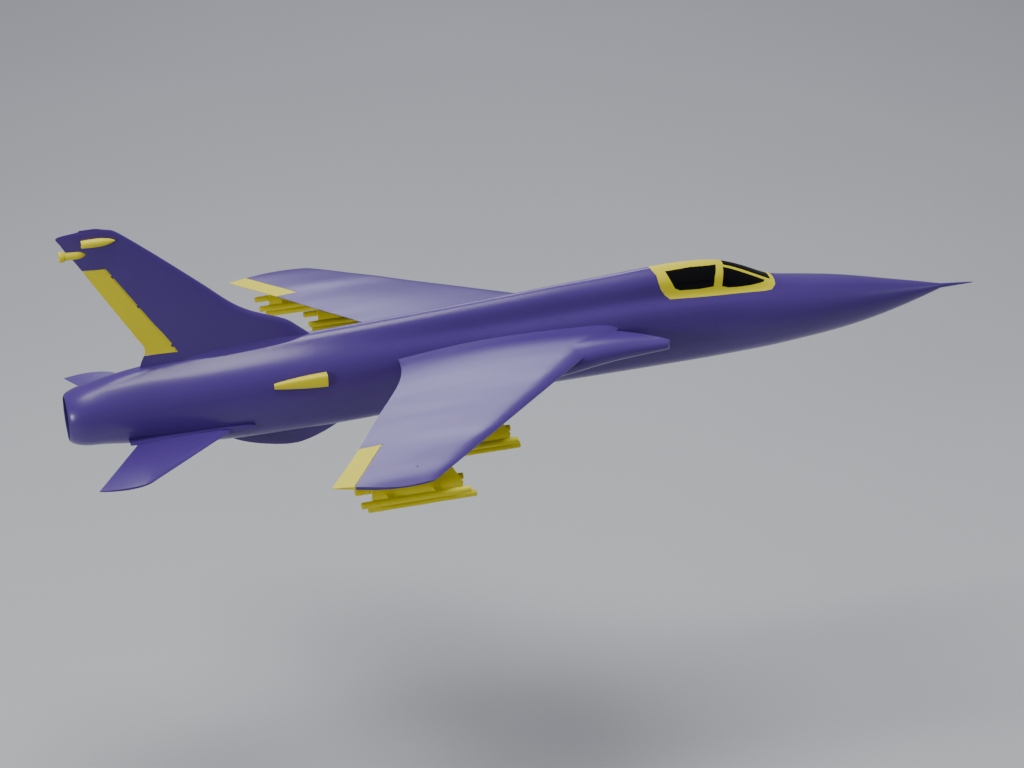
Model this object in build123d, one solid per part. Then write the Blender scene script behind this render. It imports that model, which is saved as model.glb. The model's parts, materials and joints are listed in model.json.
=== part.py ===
from build123d import *
import os
from math import cos, hypot, pi, radians, sin, tan

# A radio-controlled ducted-fan jet. Outlines are written in full-size metres, as on a scale
# three-view drawing: station (forward from the exhaust plane), butt (to port) and waterline
# (up from the exhaust axis). Fittings are written in model millimetres.
# The model frame has +X forward, +Y to port, +Z up, and its origin at the mouth of the
# stand socket in the belly.

SCALE = 14.0
SOCKET_STATION = 9.87
SOCKET_WATERLINE = -0.615

SKIN = 1.8
SEAM = 0.3
RUNNING = 0.05


def mm(metres):
    """Full-size metres to model millimetres."""
    return metres * 1000 / SCALE


def spot(station, butt, waterline):
    """A point of the three-view drawing, in the model frame."""
    return Vector(mm(station - SOCKET_STATION), mm(butt), mm(waterline - SOCKET_WATERLINE))


def line_through(points):
    """A smooth curve through hand-placed points, which never overshoots them."""
    xs = [p[0] for p in points]
    ys = [p[1] for p in points]
    steps = [b - a for a, b in zip(xs, xs[1:])]
    slopes = [(b - a) / h for a, b, h in zip(ys, ys[1:], steps)]
    tangents = [slopes[0]]
    for before, after in zip(slopes, slopes[1:]):
        same_way = before * after > 0
        tangents.append(2 * before * after / (before + after) if same_way else 0.0)
    tangents.append(slopes[-1])

    def value(x):
        x = min(max(x, xs[0]), xs[-1])
        i = max(k for k in range(len(steps)) if xs[k] <= x)
        h = steps[i]
        u = (x - xs[i]) / h
        start = (1 + 2 * u) * (1 - u) ** 2 * ys[i] + u * (1 - u) ** 2 * h * tangents[i]
        end = u * u * (3 - 2 * u) * ys[i + 1] + u * u * (u - 1) * h * tangents[i + 1]
        return start + end

    return value


# ---------------------------------------------------------------- small shape helpers
def rod(start, end, radius):
    """A round bar between two points."""
    along = end - start
    return Solid.make_cylinder(radius, along.length, Plane(origin=start, z_dir=along))


def cone(start, end, radius_start, radius_end):
    """A tapered bar between two points."""
    along = end - start
    return Solid.make_cone(
        radius_start, radius_end, along.length, Plane(origin=start, z_dir=along)
    )


def tube(start, end, outer, inner):
    """A round tube between two points."""
    return rod(start, end, outer) - rod(start, end, inner)


def block(low, high):
    """A box between its lowest and highest corners."""
    size = high - low
    return Solid.make_box(size.X, size.Y, size.Z, Plane(origin=low))


def prism(points, direction):
    """A polygon pushed along a direction."""
    face = Face(Wire.make_polygon(points, close=True))
    return Solid.extrude(face, direction)


def spacing(points):
    """Where each point lies along the chain of points, from 0 to 1."""
    reached = [0.0]
    for before, after in zip(points, points[1:]):
        reached.append(reached[-1] + (Vector(*after) - Vector(*before)).length)
    return [length / reached[-1] for length in reached]


def cut(body, *tools):
    for tool in tools:
        body = body - tool
    return body


def join(body, *others):
    for other in others:
        body = body + other
    return body


def common(body, tool):
    """What two shapes share."""
    return body & tool


def port(shape):
    """The port-side twin of a starboard shape."""
    return shape.mirror(Plane.XZ)


def save(node, *shapes):
    """Writes one node: every solid of the given shapes."""
    solids = [solid for shape in shapes for solid in shape.solids()]
    export_step(Compound(children=solids), f"parts/{node}.step")


os.makedirs("parts", exist_ok=True)

# ---------------------------------------------------------------- fuselage lines
KEEL = line_through([
    (0, -0.51), (0.1, -0.55), (0.3, -0.59), (0.6, -0.61), (1.2, -0.68), (3.1, -0.89),
    (5.5, -0.91), (7.5, -0.83), (10.3, -0.74), (13.0, -0.70), (14.7, -0.65),
    (15.55, -0.58), (16.5, -0.485), (17.4, -0.335), (18.4, -0.095), (18.85, 0.036),
])
BEAM = line_through([
    (0, 0.51), (0.1, 0.55), (0.3, 0.59), (0.6, 0.61), (1.2, 0.66), (3.0, 0.74),
    (4.5, 0.755), (6.5, 0.67), (8.0, 0.62), (9.5, 0.66), (11.5, 0.705), (14.5, 0.705),
    (15.55, 0.69), (16.5, 0.57), (17.4, 0.40), (18.4, 0.17), (18.85, 0.054),
])
WIDEST = line_through([
    (0, 0.0), (3.0, -0.02), (5.5, 0.0), (8.0, 0.08), (10.0, 0.12), (15.55, 0.11),
    (17.4, 0.065), (18.85, 0.09),
])
SHOULDER = line_through([
    (0, 0.51), (0.1, 0.55), (0.3, 0.60), (0.6, 0.66), (1.4, 0.80), (2.8, 0.87), (5.0, 0.93),
    (8.5, 0.96), (10.3, 1.02), (12.0, 1.07), (13.2, 1.04), (14.1, 0.96), (14.85, 0.88),
    (15.55, 0.80), (16.5, 0.655), (17.4, 0.465), (18.4, 0.245), (18.85, 0.144),
])
CROWN = line_through([
    (0, 0.51), (0.1, 0.55), (0.3, 0.60), (0.6, 0.67), (1.0, 0.765), (1.4, 0.84), (2.0, 0.90),
    (2.8, 0.96), (4.4, 1.07), (6.0, 1.14), (8.5, 1.26), (10.3, 1.37), (11.5, 1.43),
    (12.6, 1.49), (13.2, 1.475), (13.67, 1.42), (14.6, 1.06), (14.9, 0.925),
    (15.55, 0.80), (16.5, 0.655), (17.4, 0.465), (18.4, 0.245), (18.85, 0.144),
])
SPINE = line_through([
    (0, 0.183), (0.6, 0.22), (2.0, 0.22), (8.0, 0.24), (12.0, 0.31), (13.0, 0.33),
    (14.9, 0.26), (15.55, 0.247), (16.5, 0.204), (17.4, 0.143), (18.4, 0.061), (18.85, 0.019),
])
FULLNESS = line_through([
    (0, 2.0), (1.0, 2.0), (3.0, 2.2), (13.0, 2.2), (15.55, 2.0), (18.85, 2.0),
])
SECTION_STATIONS = [
    0, 0.1, 0.3, 0.6, 1.0, 1.6, 2.4, 3.2, 4.2, 5.2, 6.2, 7.2, 8.2, 9.2, 10.2, 11.2, 12.0,
    12.6, 13.2, 13.67, 14.1, 14.5, 14.8, 15.0, 15.3, 15.7, 16.2, 16.8, 17.4, 18.0, 18.5, 18.85,
]
LOWER_ANGLES = (-90, -65, -42, -20, 0)
UPPER_ANGLES = (20, 40, 58)
INNER_START = -0.2
INNER_END = 18.3
SPACING_STATION = 9.0


def half_section(station):
    """The port half of a fuselage section, from keel to crown, as (butt, waterline) pairs."""
    wide = BEAM(station)
    middle = WIDEST(station)
    power = 2 / FULLNESS(station)
    points = []
    for angle in LOWER_ANGLES + UPPER_ANGLES:
        across = abs(cos(radians(angle))) ** power if abs(angle) < 90 else 0.0
        rise = abs(sin(radians(angle))) ** power
        edge = KEEL(station) if angle < 0 else SHOULDER(station)
        points.append((wide * across, middle + rise * (edge - middle)))
    top = CROWN(station)
    above = top - points[-1][1]
    points.append((SPINE(station), top - 0.42 * above))
    points.append((0.49 * SPINE(station), top - 0.10 * above))
    points.append((0.0, top))
    return points


def closed_ring(half):
    """A half section and its mirror image, as one closed chain of points."""
    return half + [(-butt, waterline) for butt, waterline in half[-2:0:-1]]


# Every section is drawn with the same spacing, which keeps the lofted surface simple.
body_ring = closed_ring(half_section(SPACING_STATION))
SECTION_SPACING = spacing(body_ring + body_ring[:1])


def section_wire(station, inset):
    """A closed fuselage section, moved inwards by a wall thickness in millimetres."""
    ring = closed_ring(half_section(min(max(station, 0), SECTION_STATIONS[-1])))
    count = len(ring)
    points = []
    for i, (butt, waterline) in enumerate(ring):
        before = ring[i - 1]
        after = ring[(i + 1) % count]
        along = (after[0] - before[0], after[1] - before[1])
        length = hypot(*along)
        step = inset * SCALE / 1000 / length
        points.append(spot(station, butt - along[1] * step, waterline + along[0] * step))
    return Wire([Edge.make_spline(points, periodic=True, parameters=SECTION_SPACING)])


def fuselage_loft(stations, inset):
    return Solid.make_loft([section_wire(station, inset) for station in stations])


def slab(start, end):
    """Everything between two stations."""
    low = spot(start, -8, -4)
    high = spot(end, 8, 6)
    return block(low, high)


def outline_prism(outline, low_butt, high_butt):
    """A side-view outline of (station, waterline) points, pushed across the aircraft."""
    points = [spot(station, low_butt, waterline) for station, waterline in outline]
    return prism(points, Vector(0, mm(high_butt - low_butt), 0))


def plan_prism(outline, low_waterline, high_waterline):
    """A top-view outline of (station, butt) points, pushed upwards."""
    points = [spot(station, butt, low_waterline) for station, butt in outline]
    return prism(points, Vector(0, 0, mm(high_waterline - low_waterline)))


fuselage_body = fuselage_loft(SECTION_STATIONS, 0.0)
inner_stations = [INNER_START] + [s for s in SECTION_STATIONS if s < INNER_END] + [INNER_END]
fuselage_hollow = fuselage_loft(inner_stations, SKIN)
fuselage_shell = fuselage_body - fuselage_hollow

NOSE_JOINT = 16.6
FRONT_JOINT = 10.6
REAR_JOINT = 5.6
NOZZLE_JOINT = 0.55

# ---------------------------------------------------------------- intake ducts
# station, centre butt, centre waterline, half width, half height
DUCT_SECTIONS = [
    (12.4, 1.16, 0.33, 0.27, 0.13),
    (11.0, 1.08, 0.31, 0.31, 0.15),
    (10.3, 0.95, 0.25, 0.30, 0.17),
    (9.5, 0.70, 0.16, 0.28, 0.20),
    (8.6, 0.43, 0.04, 0.27, 0.27),
    (7.8, 0.30, -0.07, 0.25, 0.35),
    (7.15, 0.262, -0.12, 0.235, 0.39),
]
DUCT_WALL = 1.0
DUCT_SETBACK = 12.0
DUCT_FULLNESS = 2.6
OVAL_STEPS = 12


def oval_wire(station, butt, waterline, half_width, half_height, fullness, grow=0.0):
    """A rounded-square section standing across the aircraft."""
    points = []
    for i in range(OVAL_STEPS):
        angle = 2 * pi * i / OVAL_STEPS
        across = abs(cos(angle)) ** (2 / fullness) * (1 if cos(angle) >= 0 else -1)
        rise = abs(sin(angle)) ** (2 / fullness) * (1 if sin(angle) >= 0 else -1)
        centre = spot(station, butt, waterline)
        offset = Vector(
            0, across * (mm(half_width) + grow), rise * (mm(half_height) + grow)
        )
        points.append(centre + offset)
    steps = [i / OVAL_STEPS for i in range(OVAL_STEPS + 1)]
    return Wire([Edge.make_spline(points, periodic=True, parameters=steps)])


def duct_loft(grow):
    return Solid.make_loft(
        [oval_wire(*section, DUCT_FULLNESS, grow) for section in DUCT_SECTIONS]
    )


duct_air = duct_loft(0.0)
duct_outside = duct_loft(DUCT_WALL)
duct_clearance = duct_loft(DUCT_WALL + SEAM)

# ---------------------------------------------------------------- intake fairings
# station, inner butt, outer butt, bottom waterline, top waterline
FAIRING_SECTIONS = [
    (12.5, 0.60, 1.47, 0.21, 0.465),
    (12.0, 0.60, 1.49, 0.19, 0.485),
    (11.4, 0.55, 1.51, 0.14, 0.52),
    (10.8, 0.50, 1.57, 0.10, 0.56),
    (10.2, 0.45, 1.66, 0.04, 0.58),
    (9.4, 0.40, 1.62, -0.07, 0.55),
    (8.6, 0.35, 1.20, -0.03, 0.52),
    (7.9, 0.35, 0.85, 0.20, 0.50),
]
FAIRING_FULLNESS = 2.5
# The lip is swept: its outboard corner is the furthest forward.
LIP_OUTER = (12.12, 1.40)
LIP_INNER = (11.12, 0.72)


def fairing_loft():
    wires = []
    for station, inner, outer, bottom, top in FAIRING_SECTIONS:
        wires.append(oval_wire(
            station, (inner + outer) / 2, (bottom + top) / 2,
            (outer - inner) / 2, (top - bottom) / 2, FAIRING_FULLNESS,
        ))
    return Solid.make_loft(wires)


def lip_cutter():
    """Everything ahead of the swept lip."""
    return plan_prism(
        [(LIP_INNER[0] - 0.6, 0.312), LIP_INNER, LIP_OUTER, (LIP_OUTER[0] - 0.12, 1.55),
         (LIP_OUTER[0] - 0.5, 1.9), (14, 1.9), (14, 0.312)],
        -1, 1.5,
    )


# ---------------------------------------------------------------- wings
WING_LEADING = line_through([(0.0, 11.993), (5.29, 6.10), (5.6, 5.75)])
WING_TRAILING = line_through([
    (0.3, 6.60), (0.94, 6.584), (1.15, 6.55), (1.53, 6.39), (1.96, 6.13), (2.6, 5.764),
    (3.08, 5.444), (3.76, 5.045), (5.05, 4.20), (5.6, 3.84),
])
WING_RATIO = line_through([
    (0.3, 0.062), (2.0, 0.058), (4.9, 0.051), (5.1, 0.045), (5.24, 0.032), (5.37, 0.012),
])
WING_BUTTS = [0.35, 0.95, 1.55, 2.2, 3.0, 3.8, 4.6, 4.95, 5.12, 5.25, 5.36]
WING_TIP_BUTT = 5.05
WING_TIP_WATERLINE = 0.23
ANHEDRAL_SLOPE = 0.061
TRAILING_EDGE = 0.8

FOIL_SHAPE = [
    (0.0, 0.0), (0.012, 0.30), (0.038, 0.58), (0.08, 0.80), (0.16, 0.93), (0.34, 1.0),
    (0.60, 0.87), (0.82, 0.48), (1.0, 0.0),
]
FOIL_THICKNESS = line_through(FOIL_SHAPE)
FOIL_SPACING_RATIO = 0.04
foil_half = [(share, height * FOIL_SPACING_RATIO) for share, height in FOIL_SHAPE]
FOIL_SPACING = spacing(
    foil_half[::-1] + [(share, -height) for share, height in foil_half[1:]]
)


def foil_wire(nose, tail, thick_direction, thickness):
    """A symmetric section from nose to tail, with a blunt trailing edge."""
    half_edge = TRAILING_EDGE / 2
    upper = []
    for share, height in reversed(FOIL_SHAPE[1:]):
        rise = height * (thickness / 2 - half_edge * share) + half_edge * share
        upper.append((share, rise))
    ring = upper + [(0.0, 0.0)] + [(share, -rise) for share, rise in reversed(upper)]
    points = [nose + (tail - nose) * share + thick_direction * rise for share, rise in ring]
    skin = Edge.make_spline(points, parameters=FOIL_SPACING)
    closing = Edge.make_line(points[-1], points[0])
    return Wire([skin, closing])


def wing_waterline(butt):
    return WING_TIP_WATERLINE + ANHEDRAL_SLOPE * (WING_TIP_BUTT - butt)


def wing_point(station, butt):
    """A point on the wing's middle surface."""
    return spot(station, butt, wing_waterline(butt))


def wing_half_thickness(station, butt):
    """Half the wing's local thickness, in model millimetres."""
    leading = WING_LEADING(butt)
    chord = leading - WING_TRAILING(butt)
    share = (leading - station) / chord
    return FOIL_THICKNESS(share) * mm(WING_RATIO(butt) * chord) / 2


def wing_loft():
    wires = []
    for butt in WING_BUTTS:
        leading = WING_LEADING(butt)
        trailing = WING_TRAILING(butt)
        wires.append(foil_wire(
            wing_point(leading, butt), wing_point(trailing, butt), Vector(0, 0, 1),
            mm(WING_RATIO(butt) * (leading - trailing)),
        ))
    return Solid.make_loft(wires)


WING_TIP_EDGE = [
    (6.5, 5.20), (6.10, 5.28), (5.85, 5.325), (5.42, 5.34), (4.9, 5.22), (4.6, 5.12),
    (4.20, 5.02), (3.6, 4.87),
]


def tip_cutter(edge):
    """Everything outboard of a curved tip edge, given from its front to its rear."""
    low = -1
    outboard = edge[0][1] + 1
    curve = Edge.make_spline([spot(station, butt, low) for station, butt in edge])
    rear_corner = spot(edge[-1][0], outboard, low)
    front_corner = spot(edge[0][0], outboard, low)
    start = spot(*edge[0], low)
    end = spot(*edge[-1], low)
    sides = [Edge.make_line(end, rear_corner), Edge.make_line(rear_corner, front_corner),
             Edge.make_line(front_corner, start)]
    return Solid.extrude(Face(Wire([curve] + sides)), Vector(0, 0, mm(2)))


# ---------------------------------------------------------------- hinged surfaces
NOSE_GAP = 0.45
COVE_GAP = 0.15
PIN_RADIUS = 0.75
PIN_LENGTH = 13.0
KNUCKLE_WIDTH = 4.0
KNUCKLE_REACH = 6.0
NOTCH_WIDTH = 5.2


class HingeLine:
    """A hinge axis from its inner to its outer end, with the local half thickness at each."""

    def __init__(self, inner, outer, forward, normal, inner_half, outer_half, limit):
        self.inner = inner
        self.outer = outer
        self.normal = normal
        self.along = (outer - inner).normalized()
        self.forward = (forward - self.along * forward.dot(self.along)).normalized()
        self.inner_half = inner_half
        self.outer_half = outer_half
        self.length = (outer - inner).length
        self.gap = tan(radians(limit)) * max(inner_half, outer_half) + 0.2

    def at(self, share):
        return self.inner + (self.outer - self.inner) * share

    def half(self, share):
        return self.inner_half + (self.outer_half - self.inner_half) * share

    def round_bar(self, smaller, extra):
        """A cone along the axis, a little smaller than the local half thickness."""
        start = self.inner - self.along * extra
        end = self.outer + self.along * extra
        return cone(start, end, self.inner_half - smaller, self.outer_half - smaller)

    def aft_region(self, setback, end_gap):
        """Everything behind the axis between the surface's two ends, which lie fore and aft."""
        aft = Vector(-1, 0, 0)
        step = aft * (setback / -aft.dot(self.forward))
        tall = self.normal * 30
        start = self.inner + step + self.along * end_gap - tall
        end = self.outer + step - self.along * end_gap - tall
        back = aft * 70
        return prism([start, end, end + back, start + back], self.normal * 60)

    def knuckles(self, shares):
        """Static hinge blocks, which hold the pins."""
        blocks = []
        for share in shares:
            radius = self.half(share) - 0.5
            centre = self.at(share)
            side = self.along * (KNUCKLE_WIDTH / 2)
            eye = rod(centre - side, centre + side, radius)
            height = self.normal * (radius - 0.2)
            corner = centre - side - height
            reach = self.forward * (radius + KNUCKLE_REACH)
            arm = prism(
                [corner, corner + reach, corner + reach + height * 2, corner + height * 2],
                side * 2,
            )
            blocks.append(cut(join(eye, arm), self.pin(share, 0.0)))
        return blocks

    def pin(self, share, grow):
        centre = self.at(share)
        side = self.along * (PIN_LENGTH / 2 + grow)
        return rod(centre - side, centre + side, PIN_RADIUS + grow)

    def notches(self, shares):
        notches = []
        for share in shares:
            centre = self.at(share)
            side = self.along * (NOTCH_WIDTH / 2)
            notches.append(rod(centre - side, centre + side, self.half(share) - 0.15))
            notches.append(self.pin(share, RUNNING))
        return notches


def split_surface(body, hinge, shares, end_gap):
    """Splits a flying surface into its fixed part and its hinged part."""
    fixed = cut(body, hinge.aft_region(0, 0), hinge.round_bar(COVE_GAP, 0))
    moving = common(body, hinge.aft_region(hinge.gap, end_gap))
    nose_inner = hinge.inner + hinge.along * end_gap
    nose_outer = hinge.outer - hinge.along * end_gap
    nose = cone(
        nose_inner, nose_outer, hinge.inner_half - NOSE_GAP, hinge.outer_half - NOSE_GAP
    )
    web_height = hinge.normal * (min(hinge.inner_half, hinge.outer_half) - 0.9)
    corner = nose_inner - web_height
    far = nose_outer - web_height
    back = hinge.forward * -(hinge.gap + 2)
    web = prism([corner, far, far + back, corner + back], web_height * 2)
    web = common(web, hinge.aft_region(0, end_gap))
    moving = join(moving, common(join(nose, web), body))
    moving = cut(moving, *hinge.notches(shares))
    blocks = hinge.knuckles(shares)
    fixed = cut(fixed, *blocks)
    pins = [hinge.pin(share, 0) for share in shares]
    return fixed, moving, blocks, pins


# ---------------------------------------------------------------- servos and linkages
SERVO_LENGTH = 23.5
SERVO_SHAFT_INSET = 6.0
SERVO_DEPTH = 17.0
SERVO_THICKNESS = 8.0
SERVO_FACE = 1.3
SERVO_LUG = 4.5
SERVO_LUG_THICKNESS = 1.5
ARM_LENGTH = 12.0
ARM_THICKNESS = 1.6
ROD_OFFSET = 2.0
ROD_RADIUS = 0.9
EYE_RADIUS = 2.0
EYE_WIDTH = 1.6
LINK_PIN = 0.75
LINK_PIN_END = 3.2
OUTPUT_RADIUS = 2.0


class Linkage:
    """A servo, its arm, a pushrod and a control horn, in a local frame at the hinge axis.

    Local x runs towards the servo, z towards the horn's side and y along the hinge.
    Arm and horn have one length and stand parallel, so the rod never turns.
    """

    def __init__(self, origin, towards_servo, horn_side, reach, drop):
        self.plane = Plane(origin=origin, x_dir=towards_servo, z_dir=horn_side)
        self.reach = reach
        self.drop = drop

    def local(self, x, y, z):
        return self.plane.from_local_coords(Vector(x, y, z))

    def box(self, low, high):
        size = [b - a for a, b in zip(low, high)]
        base = Plane(
            origin=self.local(*low), x_dir=self.plane.x_dir, z_dir=self.plane.z_dir
        )
        return Solid.make_box(*size, base)

    def bar(self, x, z, start, end, radius):
        """A round bar along the hinge direction."""
        return rod(self.local(x, start, z), self.local(x, end, z), radius)

    def servo(self):
        left = self.reach - SERVO_SHAFT_INSET
        half = SERVO_THICKNESS / 2
        body = self.box(
            (left, -SERVO_FACE - SERVO_DEPTH, self.drop - half),
            (left + SERVO_LENGTH, -SERVO_FACE, self.drop + half),
        )
        lug_face = -SERVO_FACE - 4.0
        lugs = self.box(
            (left - SERVO_LUG, lug_face - SERVO_LUG_THICKNESS, self.drop - half),
            (left + SERVO_LENGTH + SERVO_LUG, lug_face, self.drop + half),
        )
        bore = self.bar(
            self.reach, self.drop, -SERVO_FACE - 5.0, 0, OUTPUT_RADIUS + RUNNING
        )
        holes = [
            self.bar(x, self.drop, lug_face - 3, lug_face + 1, 1.0)
            for x in (left - SERVO_LUG / 2, left + SERVO_LENGTH + SERVO_LUG / 2)
        ]
        return cut(join(body, lugs), bore, *holes)

    def arm(self):
        half = ARM_THICKNESS / 2
        top = self.drop + ARM_LENGTH
        hub = self.bar(self.reach, self.drop, -half, half, 3.0)
        end = self.bar(self.reach, top, -half, half, 2.2)
        plate = self.box((self.reach - 1.9, -half, self.drop), (self.reach + 1.9, half, top))
        output = self.bar(self.reach, self.drop, -SERVO_FACE - 4.5, 0, OUTPUT_RADIUS)
        pin = self.bar(self.reach, top, 0, LINK_PIN_END, LINK_PIN)
        return join(hub, end, plate, output, pin)

    def horn(self, base_start, base_end, base_height):
        half = ARM_THICKNESS / 2
        corners = [
            (base_start, base_height), (base_end, base_height), (2.2, ARM_LENGTH - 0.6),
            (-2.2, ARM_LENGTH + 0.6),
        ]
        points = [self.local(x, -half, z) for x, z in corners]
        plate = prism(points, self.plane.y_dir * ARM_THICKNESS)
        end = self.bar(0, ARM_LENGTH, -half, half, 2.2)
        pin = self.bar(0, ARM_LENGTH, 0, LINK_PIN_END, LINK_PIN)
        return join(plate, end, pin)

    def pushrod(self):
        start = (self.reach, self.drop + ARM_LENGTH)
        end = (0, ARM_LENGTH)
        near = ROD_OFFSET - EYE_WIDTH / 2
        far = ROD_OFFSET + EYE_WIDTH / 2
        bar = rod(
            self.local(start[0], ROD_OFFSET, start[1]),
            self.local(end[0], ROD_OFFSET, end[1]), ROD_RADIUS,
        )
        eyes = [self.bar(x, z, near, far, EYE_RADIUS) for x, z in (start, end)]
        bores = [self.bar(x, z, near - 1, far + 1, LINK_PIN + RUNNING) for x, z in (start, end)]
        return cut(join(bar, *eyes), *bores)

    def pocket(self, depth):
        """The recess that a servo lies in, open towards the horn's side."""
        left = self.reach - SERVO_SHAFT_INSET - SERVO_LUG - 0.5
        right = self.reach - SERVO_SHAFT_INSET + SERVO_LENGTH + SERVO_LUG + 0.5
        return self.box(
            (left, -SERVO_FACE - SERVO_DEPTH - 0.5, self.drop - SERVO_THICKNESS / 2 - 0.1),
            (right, 4.0, depth),
        )


# ---------------------------------------------------------------- canopy hatch
HATCH_OUTLINE = [
    (12.10, 1.60), (12.175, 1.47), (12.25, 1.37), (12.26, 1.25), (12.30, 1.10), (12.385, 0.966),
    (12.48, 0.885), (12.95, 0.857), (14.03, 0.798), (14.60, 0.760), (14.76, 0.762),
    (14.87, 0.83), (14.89, 0.90), (14.88, 1.60),
]
REAR_PANE = [
    (12.45, 1.42), (13.01, 1.43), (13.59, 1.395), (13.50, 1.20), (13.468, 1.005),
    (13.16, 0.995), (12.72, 1.025), (12.61, 1.08),
]
SIDE_PANE = [
    (13.76, 1.42), (14.68, 0.96), (14.61, 0.915), (14.33, 0.903), (14.01, 0.912),
    (13.80, 0.932), (13.65, 0.980), (13.69, 1.19),
]
SIDE_PANE_INNER_EDGE = [(13.6, 0.165), (14.8, 0.262), (14.8, 1.0), (13.6, 1.0)]
FRONT_PANE = [(13.76, -0.125), (14.80, -0.20), (14.80, 0.20), (13.76, 0.125)]
CANOPY_LIFT = 80.0

hatch_region = outline_prism(HATCH_OUTLINE, -1, 1)
wider_outline = offset(hatch_region.faces().sort_by(Axis.Y)[0], SEAM)
hatch_opening = Solid.extrude(wider_outline.faces()[0], Vector(0, mm(2), 0))
canopy_skin = common(fuselage_shell, hatch_region)
rear_panes = common(canopy_skin, outline_prism(REAR_PANE, -1, 1))
side_window = plan_prism(SIDE_PANE_INNER_EDGE, 0.5, 1.6)
side_windows = join(side_window, port(side_window))
side_panes = common(common(canopy_skin, outline_prism(SIDE_PANE, -1, 1)), side_windows)
front_pane = common(
    common(canopy_skin, plan_prism(FRONT_PANE, 0.9, 1.6)), slab(13.76, 14.835)
)
canopy_frame = cut(canopy_skin, rear_panes, side_panes, front_pane)

TRAY_TOP = 0.925
TRAY_BOTTOM = 0.895
hatch_tray = common(
    fuselage_hollow,
    block(spot(12.55, -0.6, TRAY_BOTTOM), spot(14.62, 0.6, TRAY_TOP)),
)
MAGNET_RADIUS = 2.5
MAGNET_HEIGHT = 2.0
CROSSPIECE_STATIONS = ((12.58, 12.72), (14.42, 14.56))
CROSSPIECE_BOTTOM = 0.78
CROSSPIECE_TOP = 0.83
hatch_crosspieces = [
    common(fuselage_hollow, block(spot(a, -1, CROSSPIECE_BOTTOM), spot(b, 1, CROSSPIECE_TOP)))
    for a, b in CROSSPIECE_STATIONS
]
hatch_magnets = []
bay_magnets = []
for a, b in CROSSPIECE_STATIONS:
    for butt in (-0.2, 0.2):
        low = spot((a + b) / 2, butt, CROSSPIECE_TOP)
        bay_magnets.append(rod(low, low + Vector(0, 0, MAGNET_HEIGHT), MAGNET_RADIUS))
        high = spot((a + b) / 2, butt, TRAY_BOTTOM)
        hatch_magnets.append(rod(high - Vector(0, 0, MAGNET_HEIGHT), high, MAGNET_RADIUS))

# ---------------------------------------------------------------- stand socket
SOCKET_RADIUS = 27.0
SOCKET_WALL = 2.0
SOCKET_DEPTH = 14.0
SOCKET_FLOOR = 2.0
SOCKET_LEAD = 0.4
up = Vector(0, 0, 1)
origin = Vector(0, 0, 0)
below = up * -30
socket_block = rod(below, up * (SOCKET_DEPTH + SOCKET_FLOOR), SOCKET_RADIUS + SOCKET_WALL)
socket_outside = common(socket_block, fuselage_body)
stand_socket = cut(
    socket_outside,
    rod(origin, up * SOCKET_DEPTH, SOCKET_RADIUS),
    rod(below, origin, SOCKET_RADIUS + SOCKET_LEAD),
)

# ---------------------------------------------------------------- wings and ailerons
AILERON_INNER = (5.49, 3.79)
AILERON_OUTER = (4.62, 5.137)
AILERON_LIMIT = 20
AILERON_HINGES = (0.08, 0.36, 0.92)
AILERON_END_GAP = 0.7
RUDDER_END_GAP = 1.0

wing_body = cut(wing_loft(), tip_cutter(WING_TIP_EDGE), fuselage_body)
aileron_hinge = HingeLine(
    wing_point(*AILERON_INNER), wing_point(*AILERON_OUTER), Vector(1, 0, 0), Vector(0, 0, -1),
    wing_half_thickness(*AILERON_INNER), wing_half_thickness(*AILERON_OUTER), AILERON_LIMIT,
)
wing_panel, aileron, aileron_knuckles, aileron_pins = split_surface(
    wing_body, aileron_hinge, AILERON_HINGES, AILERON_END_GAP
)
AILERON_HORN_SHARE = 0.24
AILERON_REACH = 42.0
AILERON_DROP = 2.9
aileron_link = Linkage(
    aileron_hinge.at(AILERON_HORN_SHARE), aileron_hinge.forward, aileron_hinge.normal,
    reach=AILERON_REACH, drop=AILERON_DROP,
)
aileron_horn = cut(aileron_link.horn(-11.0, -2.2, 0.5), aileron)

# station, half span in full-size metres, radius in model millimetres
SPAR_WATERLINE = 0.46
MAIN_SPAR = (8.9, 1.6, 4.0)
REAR_SPAR = (7.9, 1.4, 3.0)
SPAR_WALL = 1.0
spar_tubes = []
spar_bores = []
for station, reach, radius in (MAIN_SPAR, REAR_SPAR):
    left = spot(station, -reach, SPAR_WATERLINE)
    right = spot(station, reach, SPAR_WATERLINE)
    spar_tubes.append(tube(left, right, radius, radius - SPAR_WALL))
    spar_bores.append(rod(left, right, radius))

WING_BOLT = (8.7, 0.50)
bolt_seat = spot(WING_BOLT[0], 0.535, WING_BOLT[1])
across = Vector(0, 1, 0)
wing_bolt = join(
    rod(bolt_seat, bolt_seat + across * 24, 2.0), rod(bolt_seat - across * 3, bolt_seat, 4.0)
)

fairing_block = cut(fairing_loft(), lip_cutter(), fuselage_body, duct_outside)
intake_fairing = cut(fairing_block, wing_panel)
wing_panel = cut(
    wing_panel, aileron_link.pocket(9.0), duct_outside, *spar_bores, wing_bolt
)
intake_fairing = cut(intake_fairing, *spar_bores, wing_bolt)
duct_end = lip_cutter().translate(Vector(-DUCT_SETBACK, 0, 0))
intake_duct = cut(duct_outside, duct_air, duct_end, slab(11.9, 13))
intake_duct = cut(intake_duct, block(spot(6, -1, -1), spot(11, 0.004, 1)))

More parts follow.
